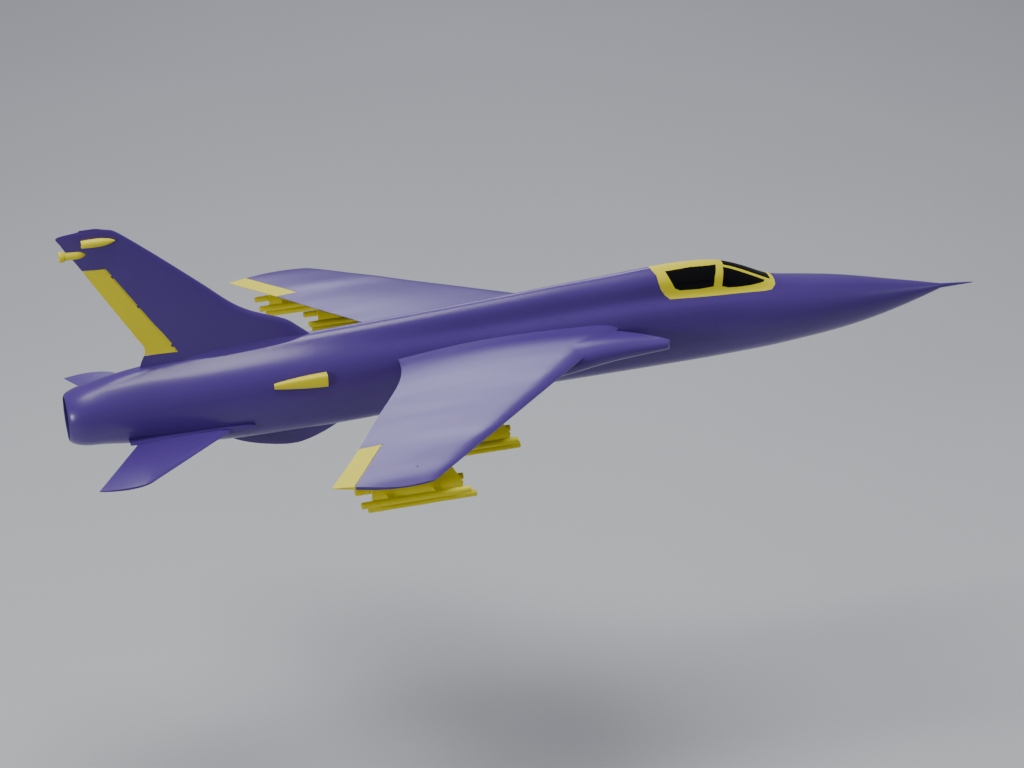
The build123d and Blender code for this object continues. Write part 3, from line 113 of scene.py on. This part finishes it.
# ---------------------------------------------------------------- materials
class Finish:
    """A Principled material whose colour, gloss and relief vary over the surface."""

    def __init__(self, name, metallic=0.0, coat=0.0, coat_roughness=0.1, specular=0.5):
        self.material = bpy.data.materials.new(name)
        self.material.use_nodes = True
        self.tree = self.material.node_tree
        self.shader = self.tree.nodes["Principled BSDF"]
        self.shader.inputs["Metallic"].default_value = metallic
        self.shader.inputs["Coat Weight"].default_value = coat
        self.shader.inputs["Coat Roughness"].default_value = coat_roughness
        self.shader.inputs["Specular IOR Level"].default_value = specular
        self.place = self.tree.nodes.new("ShaderNodeTexCoord").outputs["Object"]
        self.normal = None

    def link(self, source, target):
        self.tree.links.new(source, target)

    def stretched(self, stretch):
        """Object coordinates in metres, multiplied along each axis."""
        mapping = self.tree.nodes.new("ShaderNodeMapping")
        mapping.inputs["Scale"].default_value = stretch
        self.link(self.place, mapping.inputs["Vector"])
        return mapping.outputs["Vector"]

    def noise(self, scale, detail=3.0, stretch=(1, 1, 1)):
        node = self.tree.nodes.new("ShaderNodeTexNoise")
        node.inputs["Scale"].default_value = scale
        node.inputs["Detail"].default_value = detail
        self.link(self.stretched(stretch), node.inputs["Vector"])
        return node.outputs["Fac"]

    def bands(self, scale, direction, distortion=0.0):
        node = self.tree.nodes.new("ShaderNodeTexWave")
        node.bands_direction = direction
        node.inputs["Scale"].default_value = scale
        node.inputs["Distortion"].default_value = distortion
        self.link(self.place, node.inputs["Vector"])
        return node.outputs["Fac"]

    def ranged(self, value, low, high, start=0.3, end=0.7):
        node = self.tree.nodes.new("ShaderNodeMapRange")
        node.inputs["From Min"].default_value = start
        node.inputs["From Max"].default_value = end
        node.inputs["To Min"].default_value = low
        node.inputs["To Max"].default_value = high
        self.link(value, node.inputs["Value"])
        return node.outputs["Result"]

    def mixed(self, factor, first, second):
        """A colour between two colours or colour outputs."""
        node = self.tree.nodes.new("ShaderNodeMix")
        node.data_type = "RGBA"
        self.link(factor, node.inputs["Factor"])
        for socket, colour in ((node.inputs[6], first), (node.inputs[7], second)):
            if isinstance(colour, tuple):
                socket.default_value = (*colour, 1)
            else:
                self.link(colour, socket)
        return node.outputs[2]

    def combined(self, operation, first, second):
        node = self.tree.nodes.new("ShaderNodeMath")
        node.operation = operation
        for socket, value in zip(node.inputs, (first, second)):
            if isinstance(value, (int, float)):
                socket.default_value = value
            else:
                self.link(value, socket)
        return node.outputs["Value"]

    def worn_edges(self, radius):
        """High along convex and concave edges of the mesh, low on open surface."""
        bevel = self.tree.nodes.new("ShaderNodeBevel")
        bevel.samples = 4
        bevel.inputs["Radius"].default_value = radius
        geometry = self.tree.nodes.new("ShaderNodeNewGeometry")
        dot = self.tree.nodes.new("ShaderNodeVectorMath")
        dot.operation = "DOT_PRODUCT"
        self.link(bevel.outputs["Normal"], dot.inputs[0])
        self.link(geometry.outputs["Normal"], dot.inputs[1])
        return self.ranged(dot.outputs["Value"], 1.0, 0.0, 0.80, 0.98)

    def colour(self, source):
        self.link(source, self.shader.inputs["Base Color"])

    def roughness(self, source):
        self.link(source, self.shader.inputs["Roughness"])

    def relief(self, height, depth, strength=1.0):
        """Adds a bump of a given depth in metres on top of any earlier one."""
        bump = self.tree.nodes.new("ShaderNodeBump")
        bump.inputs["Strength"].default_value = strength
        bump.inputs["Distance"].default_value = depth
        self.link(height, bump.inputs["Height"])
        if self.normal is not None:
            self.link(self.normal, bump.inputs["Normal"])
        self.normal = bump.outputs["Normal"]
        self.link(self.normal, self.shader.inputs["Normal"])


EDGE_RADIUS = 0.0004
EDGE_WEAR = 0.18
PEEL_DEPTH = 0.00003
TOOL_MARK_DEPTH = 0.00002
PLY_GRAIN_DEPTH = 0.00012
PLY_FACE_COLOURS = ((0.50, 0.34, 0.18), (0.72, 0.55, 0.34))
PLY_GLUE_COLOUR = (0.24, 0.14, 0.07)
WEAVE_DEPTH = 0.00008
GLASS_COLOURS = ((0.002, 0.002, 0.003), (0.006, 0.006, 0.008))
GLASS_WAVE_DEPTH = 0.00002
WRAP_COLOURS = ((0.05, 0.15, 0.09), (0.10, 0.25, 0.15))
WRAP_CREASE_DEPTH = 0.0004
STRAP_COLOURS = ((0.010, 0.010, 0.011), (0.050, 0.050, 0.052))
STRAP_WEAVE_DEPTH = 0.0003


def paint(name, deep, light, edge, roughness, coat):
    """Sprayed satin paint: faint cloudiness, orange peel, air-flow streaks and rubbed edges."""
    finish = Finish(name, coat=coat, coat_roughness=0.20, specular=0.40)
    cloud = finish.ranged(finish.noise(5.0, 2.0), 0.0, 1.0)
    sprayed = finish.mixed(cloud, deep, light)
    streaks = finish.noise(40.0, 4.0, stretch=(0.08, 1.0, 1.0))
    wear = finish.combined("MULTIPLY", finish.worn_edges(EDGE_RADIUS), finish.ranged(
        finish.noise(160.0, 4.0), 0.0, EDGE_WEAR, 0.42, 0.72
    ))
    finish.colour(finish.mixed(wear, sprayed, edge))
    finish.roughness(finish.ranged(streaks, roughness - 0.035, roughness + 0.05))
    finish.relief(finish.noise(520.0, 2.0), PEEL_DEPTH, 0.5)
    return finish.material


def moulded(name, deep, light, roughness, grain=1400.0, depth=0.00004):
    """Moulded plastic with a fine sparked grain."""
    finish = Finish(name, specular=0.45)
    speckle = finish.ranged(finish.noise(grain, 2.0), 0.0, 1.0)
    finish.colour(finish.mixed(speckle, deep, light))
    finish.roughness(finish.ranged(finish.noise(90.0), roughness - 0.06, roughness + 0.08))
    finish.relief(finish.noise(grain, 3.0), depth, 0.6)
    return finish.material


def metal(name, deep, light, roughness, stretch):
    """Machined metal with fine tool marks along one direction."""
    finish = Finish(name, metallic=1.0)
    marks = finish.noise(700.0, 4.0, stretch=stretch)
    finish.colour(finish.mixed(finish.ranged(finish.noise(60.0), 0.0, 1.0), deep, light))
    finish.roughness(finish.ranged(marks, roughness - 0.06, roughness + 0.12))
    finish.relief(marks, TOOL_MARK_DEPTH, 0.4)
    return finish.material


def plywood(name):
    """Birch plywood: three glued plies across its thickness and long grain on its faces."""
    finish = Finish(name, specular=0.3)
    grain = finish.noise(90.0, 6.0, stretch=(1.0, 0.12, 1.0))
    face = finish.mixed(finish.ranged(grain, 0.0, 1.0), *PLY_FACE_COLOURS)
    glue = finish.ranged(finish.bands(160.0, "X"), 0.0, 0.35, 0.75, 0.95)
    finish.colour(finish.mixed(glue, face, PLY_GLUE_COLOUR))
    finish.roughness(finish.ranged(grain, 0.52, 0.70))
    finish.relief(grain, PLY_GRAIN_DEPTH, 0.7)
    return finish.material


def laminate(name, deep, light, roughness, pitch):
    """A woven fibre cloth under resin."""
    finish = Finish(name, coat=0.6, coat_roughness=0.12)
    warp = finish.bands(pitch, "X")
    weft = finish.bands(pitch, "Z")
    weave = finish.combined("MULTIPLY", warp, weft)
    finish.colour(finish.mixed(weave, deep, light))
    finish.roughness(finish.ranged(finish.noise(70.0), roughness - 0.05, roughness + 0.08))
    finish.relief(weave, WEAVE_DEPTH, 0.5)
    return finish.material


def glazing(name):
    """Opaque gloss black glazing with faint wiping marks."""
    finish = Finish(name, coat=0.12, coat_roughness=0.06, specular=0.16)
    haze = finish.noise(14.0, 4.0, stretch=(0.4, 1.0, 1.0))
    finish.colour(finish.mixed(haze, *GLASS_COLOURS))
    finish.roughness(finish.ranged(haze, 0.12, 0.22))
    finish.relief(finish.noise(18.0, 1.0), GLASS_WAVE_DEPTH, 0.3)
    return finish.material


def shrink_wrap(name):
    """Heat-shrunk film with small creases."""
    finish = Finish(name, coat=0.7, coat_roughness=0.15)
    crease = finish.noise(75.0, 5.0, stretch=(0.35, 1.0, 1.0))
    finish.colour(finish.mixed(finish.ranged(crease, 0.0, 1.0), *WRAP_COLOURS))
    finish.roughness(finish.ranged(crease, 0.22, 0.4))
    finish.relief(crease, WRAP_CREASE_DEPTH, 0.6)
    return finish.material


def webbing(name):
    """Woven nylon strap."""
    finish = Finish(name, specular=0.25)
    weave = finish.combined("MULTIPLY", finish.bands(420.0, "X"), finish.bands(420.0, "Y"))
    finish.colour(finish.mixed(weave, *STRAP_COLOURS))
    finish.roughness(finish.ranged(finish.noise(200.0), 0.75, 0.95))
    finish.relief(weave, STRAP_WEAVE_DEPTH, 0.9)
    return finish.material


MATERIALS = {
    "hull_paint": paint(
        "hull_paint", (0.068, 0.031, 0.222), (0.076, 0.036, 0.242), (0.15, 0.11, 0.33), 0.32, 0.26
    ),
    "yellow_paint": paint(
        "yellow_paint", (0.76, 0.68, 0.008), (0.80, 0.72, 0.012), (0.84, 0.79, 0.16), 0.52, 0.03
    ),
    "canopy_black": glazing("canopy_black"),
    "birch_ply": plywood("birch_ply"),
    "steel": metal("steel", (0.46, 0.46, 0.47), (0.62, 0.62, 0.63), 0.26, (0.1, 1.0, 1.0)),
    "brass": metal("brass", (0.60, 0.42, 0.16), (0.74, 0.54, 0.24), 0.28, (1.0, 0.1, 1.0)),
    "carbon": laminate("carbon", (0.008, 0.008, 0.009), (0.045, 0.045, 0.05), 0.25, 220.0),
    "glass_fibre": laminate("glass_fibre", (0.48, 0.50, 0.40), (0.68, 0.70, 0.60), 0.35, 160.0),
    "black_nylon": moulded("black_nylon", (0.012, 0.012, 0.013), (0.030, 0.030, 0.032), 0.48),
    "white_nylon": moulded("white_nylon", (0.70, 0.70, 0.67), (0.82, 0.82, 0.80), 0.42),
    "aluminium": metal(
        "aluminium", (0.58, 0.59, 0.61), (0.74, 0.75, 0.77), 0.30, (1.0, 0.12, 0.12)
    ),
    "battery_wrap": shrink_wrap("battery_wrap"),
    "strap": webbing("strap"),
}


def dress(piece, slot):
    """Gives a piece the finish of one of the record's material slots."""
    piece.data.materials.clear()
    piece.data.materials.append(MATERIALS[slot])


for subpart in frame["record"]["subparts"]:
    node = nodes[subpart["node"]]
    material = MATERIALS[subpart["material_slot"]]
    if node.material_slots:
        for held in node.material_slots:
            held.material = material
    else:
        node.data.materials.append(material)


# ---------------------------------------------------------------- pieces on the airframe
SCALE = 14.0
DATUM_STATION = 9.87
DATUM_LEVEL = -0.615
MILLIMETRE = 0.001


def spot(station, butt, level):
    """A place given in full-size metres: forward of the tail, to port, above the wing chord."""
    return Vector((
        (station - DATUM_STATION) / SCALE, butt / SCALE, (level - DATUM_LEVEL) / SCALE,
    ))


def finished(piece, slot, body="airframe", sharp=32):
    """Smooth shading with crisp corners, a finish and a body to ride on."""
    piece.data.shade_smooth()
    piece.data.set_sharp_from_angle(angle=radians(sharp))
    dress(piece, slot)
    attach(piece, body)
    return piece


def ring_faces(rows, steps, closed=False):
    """Quads between rows of points that each go once round; closed joins the last row to the first."""
    pairs = [(row, row + 1) for row in range(rows - 1)]
    if closed:
        pairs.append((rows - 1, 0))
    faces = []
    for first, second in pairs:
        for step in range(steps):
            after = (step + 1) % steps
            faces.append((
                first * steps + step, first * steps + after,
                second * steps + after, second * steps + step,
            ))
    return faces


def skin_of(*names):
    """A search tree of the faces of CAD nodes, for finding places on their surface."""
    points, faces = [], []
    for name in names:
        node = nodes[name]
        start = len(points)
        points += [node.matrix_world @ vertex.co for vertex in node.data.vertices]
        faces += [[start + index for index in face.vertices] for face in node.data.polygons]
    return BVHTree.FromPolygons(points, faces)


def turned(solids, steps=40):
    """Points and faces of several round solids; each has a rear centre and (along, radius) pairs."""
    points, faces = [], []
    for centre, outline in solids:
        start = len(points)
        for along, radius in outline:
            for step in range(steps):
                angle = 2 * pi * step / steps
                points.append(centre + Vector((along, radius * cos(angle), radius * sin(angle))))
        rows = len(outline)
        faces += [tuple(start + index for index in face) for face in ring_faces(rows, steps)]
        faces.append(tuple(start + step for step in range(steps)))
        faces.append(tuple(start + (rows - 1) * steps + step for step in reversed(range(steps))))
    return points, faces


# distance ahead of the mouth and depth below the hull's surface, out along the skin and back inside
NOZZLE_PROFILE = [
    (39.3, 0), (31, 0), (24, 0.12), (18, 0.4), (13, 0.8), (9, 1.25), (6, 1.7), (3.8, 2.15),
    (1.9, 2.75), (0.7, 3.4), (0.1, 4.1), (0.3, 4.8), (1.2, 5.3), (3, 5.4), (8, 4.9), (16, 3.6),
    (24, 2.4), (39.3, 2.0),
]
NOZZLE_STEPS = 120
RAY_START = 0.1


def add_nozzle():
    """The tail pipe's outer shell, rolled in at the mouth to a rounded lip."""
    skin = skin_of("exhaust_nozzle")
    low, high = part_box("exhaust_nozzle")
    centre_level = spot(0, 0, 0).z
    margin = 0.2 * MILLIMETRE
    points = []
    for distance, depth in NOZZLE_PROFILE:
        station = low[0] + distance * MILLIMETRE
        axis_point = Vector((min(max(station, low[0] + margin), high[0] - margin), 0, centre_level))
        for step in range(NOZZLE_STEPS):
            angle = 2 * pi * step / NOZZLE_STEPS
            outward = Vector((0, cos(angle), sin(angle)))
            hit = skin.ray_cast(axis_point + outward * RAY_START, -outward)[0]
            radius = (hit - axis_point).length - depth * MILLIMETRE
            points.append(Vector((min(station, high[0]), 0, centre_level)) + outward * radius)
    faces = ring_faces(len(NOZZLE_PROFILE), NOZZLE_STEPS, closed=True)
    nozzle = mesh_object("rounded_nozzle", points, faces)
    finished(nozzle, "hull_paint", sharp=60)
    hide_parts("exhaust_nozzle")


def islands(node):
    """The lowest and highest corner of each separate body in a CAD node."""
    mesh = node.data
    parent = list(range(len(mesh.vertices)))

    def root(index):
        while parent[index] != index:
            parent[index] = parent[parent[index]]
            index = parent[index]
        return index

    same_place = {}
    for vertex in mesh.vertices:
        key = tuple(round(value, 5) for value in vertex.co)
        parent[root(vertex.index)] = root(same_place.setdefault(key, vertex.index))
    for edge in mesh.edges:
        parent[root(edge.vertices[0])] = root(edge.vertices[1])
    boxes = {}
    for vertex in mesh.vertices:
        place = node.matrix_world @ vertex.co
        low, high = boxes.setdefault(root(vertex.index), (place.copy(), place.copy()))
        for axis in range(3):
            low[axis] = min(low[axis], place[axis])
            high[axis] = max(high[axis], place[axis])
    return sorted(boxes.values(), key=lambda box: tuple(box[0]))


BAND_WIDTH = 5 * MILLIMETRE
BAND_RISE = 0.3 * MILLIMETRE
BAND_SHARES = (0.12, 0.5, 0.88)
TUBE_RIM = 0.7 * MILLIMETRE
TUBE_RECESS = 5 * MILLIMETRE
TUBE_BORE_SHARE = 0.72
TUBE_CENTRE_RADIUS = 0.1 * MILLIMETRE


def tube_outline(length, radius):
    """A launch tube: recessed ends, rounded rims and three raised bands."""
    bore = TUBE_BORE_SHARE * radius
    rear = [(TUBE_RECESS, TUBE_CENTRE_RADIUS), (TUBE_RECESS, bore), (0, bore)]
    rear.append((0, radius - TUBE_RIM / 2))
    rear.append((TUBE_RIM / 2, radius))
    middle = []
    for share in BAND_SHARES:
        low = share * length - BAND_WIDTH / 2
        high = share * length + BAND_WIDTH / 2
        raised = radius + BAND_RISE
        middle += [
            (low, radius), (low + BAND_RISE, raised), (high - BAND_RISE, raised), (high, radius),
        ]
    front = [(length - along, size) for along, size in reversed(rear)]
    return rear + middle + front


def add_launch_tubes():
    solids = []
    for low, high in islands(nodes["dummy_tubes"]):
        radius = (high.y - low.y) / 2
        centre = Vector((low.x, (low.y + high.y) / 2, (low.z + high.z) / 2))
        solids.append((centre, tube_outline(high.x - low.x, radius)))
    tubes = mesh_object("launch_tubes", *turned(solids))
    finished(tubes, "yellow_paint")
    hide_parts("dummy_tubes")


POD_STATIONS = (0.64, 1.30)
POD_BUTT = 0.075
POD_LEVEL = 3.63
POD_RADIUS = 0.082
TAIL_POD_STATIONS = (0.20, 0.74)
TAIL_POD_LEVEL = 3.40
TAIL_POD_RADIUS = 0.080
TAIL_DISC_RADIUS = 0.104
TAIL_DISC_THICKNESS = 0.10
POD_RECESS = 0.03
POD_CENTRE_RADIUS = 0.0006
POD_EDGE = 0.012
NOSE_STEPS = 12
NOSE_POWERS = (2.4, 0.8)
NOSE_POINT = 0.004


def pod_nose(start, end, radius):
    """A long bluntly pointed nose from start to end, as (along, radius) pairs."""
    outline = []
    for step in range(1, NOSE_STEPS + 1):
        share = step / NOSE_STEPS
        narrowing = max(1 - share ** NOSE_POWERS[0], NOSE_POINT) ** NOSE_POWERS[1]
        outline.append((start + (end - start) * share, radius * narrowing))
    return outline


def side_pod_outline():
    """A recessed rear end, a slightly swelling body and a long nose."""
    size = POD_STATIONS[1] - POD_STATIONS[0]
    outline = [
        (POD_RECESS, POD_CENTRE_RADIUS), (POD_RECESS, 0.72 * POD_RADIUS), (0, 0.80 * POD_RADIUS),
        (POD_EDGE, 0.90 * POD_RADIUS), (0.30 * size, POD_RADIUS),
    ]
    return outline + pod_nose(0.38 * size, size, POD_RADIUS)


def tail_pod_outline():
    """A wide recessed rear disc, then a straight body and a shorter nose."""
    size = TAIL_POD_STATIONS[1] - TAIL_POD_STATIONS[0]
    disc_end = TAIL_DISC_THICKNESS
    outline = [
        (POD_RECESS, POD_CENTRE_RADIUS), (POD_RECESS, 0.6 * TAIL_DISC_RADIUS),
        (0, 0.66 * TAIL_DISC_RADIUS), (0, 0.92 * TAIL_DISC_RADIUS), (POD_EDGE, TAIL_DISC_RADIUS),
        (disc_end - POD_EDGE, TAIL_DISC_RADIUS), (disc_end, 0.93 * TAIL_DISC_RADIUS),
        (disc_end, TAIL_POD_RADIUS), (0.5 * size, TAIL_POD_RADIUS),
    ]
    return outline + pod_nose(0.55 * size, size, TAIL_POD_RADIUS)


def add_fin_pods():
    """Two side pods on the fin's tip and the tail pod with its wider rear disc."""
    solids = [(spot(TAIL_POD_STATIONS[0], 0, TAIL_POD_LEVEL), tail_pod_outline())]
    for side in (-1, 1):
        solids.append((spot(POD_STATIONS[0], side * POD_BUTT, POD_LEVEL), side_pod_outline()))
    scaled = [
        (centre, [(along / SCALE, radius / SCALE) for along, radius in outline])
        for centre, outline in solids
    ]
    pods = mesh_object("detailed_pods", *turned(scaled))
    finished(pods, "yellow_paint")
    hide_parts("fin_pods")


FILLET_STATIONS = (2.45, 5.15)
FILLET_STEPS = 60
FILLET_ROWS = 7
FILLET_REACH = 0.12
FILLET_RISE = 0.14
FILLET_SINK = 0.012
FILLET_ROOT = 0.1
FILLET_REAR_GROWTH = 5
FILLET_FRONT_GROWTH = 3
FILLET_END_SIZE = 0.02
FIN_HALF_THICKNESS = 0.06
SEARCH_LEVEL = 6
SEARCH_HEIGHT = 0.5
DOWN = Vector((0, 0, -1))


def fillet_section(hull, fin, share, side):
    """One cross-section of a blend: a sunk curve from the fin to the hull, then its hidden root."""
    station = FILLET_STATIONS[0] + (FILLET_STATIONS[1] - FILLET_STATIONS[0]) * share
    size = FILLET_END_SIZE
    if 0 < share < 1:
        size = min(1, FILLET_REAR_GROWTH * share, FILLET_FRONT_GROWTH * (1 - share)) ** 0.5
    top = hull.ray_cast(spot(station, side * FIN_HALF_THICKNESS, SEARCH_LEVEL), DOWN)[0]
    upper = top + Vector((0, 0, FILLET_RISE * size / SCALE))
    on_fin = fin.ray_cast(Vector((upper.x, side * RAY_START, upper.z)), Vector((0, -side, 0)))[0]
    if on_fin is None:
        on_fin = Vector((upper.x, 0, top.z))
    reach = on_fin.y + side * FILLET_REACH * size / SCALE
    on_hull = hull.ray_cast(Vector((upper.x, reach, SEARCH_HEIGHT)), DOWN)[0]
    corner = Vector((upper.x, on_fin.y, top.z))
    inward = Vector((0, -side, -1))
    points = []
    for row in range(FILLET_ROWS):
        part = row / (FILLET_ROWS - 1)
        curve = on_fin * (1 - part) ** 2 + corner * 2 * part * (1 - part) + on_hull * part ** 2
        edge = abs(2 * part - 1) ** 3
        points.append(curve + inward * FILLET_SINK / SCALE * edge)
    points.append(corner + inward * FILLET_ROOT / SCALE)
    return points


def add_fin_fillets():
    """Soft concave blends between the fin's sides and the back of the hull."""
    hull = skin_of("rear_fuselage")
    fin = skin_of("fin")
    rows = FILLET_STEPS + 1
    across = FILLET_ROWS + 1
    for side, name in ((-1, "fin_fillet_right"), (1, "fin_fillet_left")):
        points = []
        for step in range(rows):
            points += fillet_section(hull, fin, step / FILLET_STEPS, side)
        faces = ring_faces(rows, across)
        faces.append(tuple(range(across)))
        faces.append(tuple((rows - 1) * across + index for index in reversed(range(across))))
        if side > 0:
            faces = [tuple(reversed(face)) for face in faces]
        finished(mesh_object(name, points, faces), "hull_paint", sharp=50)


LIP_OUTER = (12.12, 1.40)
LIP_INNER = (11.12, 0.72)
LIP_LEVEL = 0.335
LIP_MIDDLE_SHARE = 0.55
LIP_STEPS = 96
LIP_CURVE_STEPS = 8
LIP_BULGE = 1.6 * MILLIMETRE
LIP_SETBACK = 0.8 * MILLIMETRE
LIP_SEARCH = 0.06


def lip_rows(skin, centre, along, ahead):
    """Half-round curves over the cut edge, each with its step round the intake's mouth."""
    rows = []
    for step in range(LIP_STEPS):
        angle = 2 * pi * step / LIP_STEPS
        outward = along * cos(angle) + Vector((0, 0, 1)) * sin(angle)
        inner = skin.ray_cast(centre, outward)[0]
        outer = skin.ray_cast(centre + outward * LIP_SEARCH, -outward)[0]
        if inner is None or outer is None or (outer - inner).dot(outward) <= 0:
            continue
        middle = (inner + outer) / 2
        row = []
        for part in range(LIP_CURVE_STEPS + 1):
            turn = pi * part / LIP_CURVE_STEPS
            row.append(
                middle + (outer - middle) * cos(turn)
                + ahead * (LIP_SETBACK + LIP_BULGE) * sin(turn)
            )
        rows.append((step, row))
    return rows


def add_intake_lips():
    """A rounded bead over the cut edge of each swept intake."""
    skin = skin_of("intake_fairings")
    station = LIP_INNER[0] + (LIP_OUTER[0] - LIP_INNER[0]) * LIP_MIDDLE_SHARE
    butt = LIP_INNER[1] + (LIP_OUTER[1] - LIP_INNER[1]) * LIP_MIDDLE_SHARE
    for side, name in ((-1, "intake_lip_right"), (1, "intake_lip_left")):
        along = spot(*LIP_OUTER, 0) - spot(*LIP_INNER, 0)
        along.y *= side
        along.normalize()
        ahead = Vector((abs(along.y), -side * along.x, 0)).normalized()
        centre = spot(station, side * butt, LIP_LEVEL) - ahead * LIP_SETBACK
        rows = lip_rows(skin, centre, along, ahead)
        across = LIP_CURVE_STEPS + 1
        points = [point for _, row in rows for point in row]
        faces = []
        for index, (step, _) in enumerate(rows):
            after = (index + 1) % len(rows)
            if (rows[after][0] - step) % LIP_STEPS > 1:
                continue
            for part in range(across - 1):
                face = (
                    index * across + part, index * across + part + 1,
                    after * across + part + 1, after * across + part,
                )
                faces.append(face if side > 0 else tuple(reversed(face)))
        finished(mesh_object(name, points, faces), "hull_paint", sharp=70)


add_nozzle()
add_launch_tubes()
add_fin_pods()
add_fin_fillets()
add_intake_lips()

# ---------------------------------------------------------------- stage
def add_floor():
    corners = [
        (-FLOOR_HALF, -FLOOR_HALF), (FLOOR_HALF, -FLOOR_HALF),
        (FLOOR_HALF, FLOOR_HALF), (-FLOOR_HALF, FLOOR_HALF),
    ]
    floor = mesh_object("floor", [(x, y, FLOOR_LEVEL) for x, y in corners], [(0, 1, 2, 3)])
    finish = Finish("pale_floor", specular=0.2)
    tone = finish.noise(1.5, 2.0)
    finish.colour(finish.mixed(tone, FLOOR_DARK, FLOOR_LIGHT))
    finish.roughness(finish.ranged(tone, 0.75, 0.85))
    floor.data.materials.append(finish.material)


add_camera()
add_floor()
add_world(0.24)
add_area_light("overhead", (-0.5, 0.1, 3.0), (-0.1, 0, 0), 1.8, 92)
add_area_light("rear", (1.15, 4.9, 3.3), (-0.2, 0, 0), 2.4, 92, (0.80, 0.80, 1.0))
add_area_light("left", (-2.9, -1.5, 0.8), (-0.6, 0, 0), 0.6, 34, (0.97, 0.96, 1.0))
add_area_light("right", (3.0, -0.6, 1.0), (0.2, 0, 0), 0.7, 15, (0.76, 0.86, 1.0))
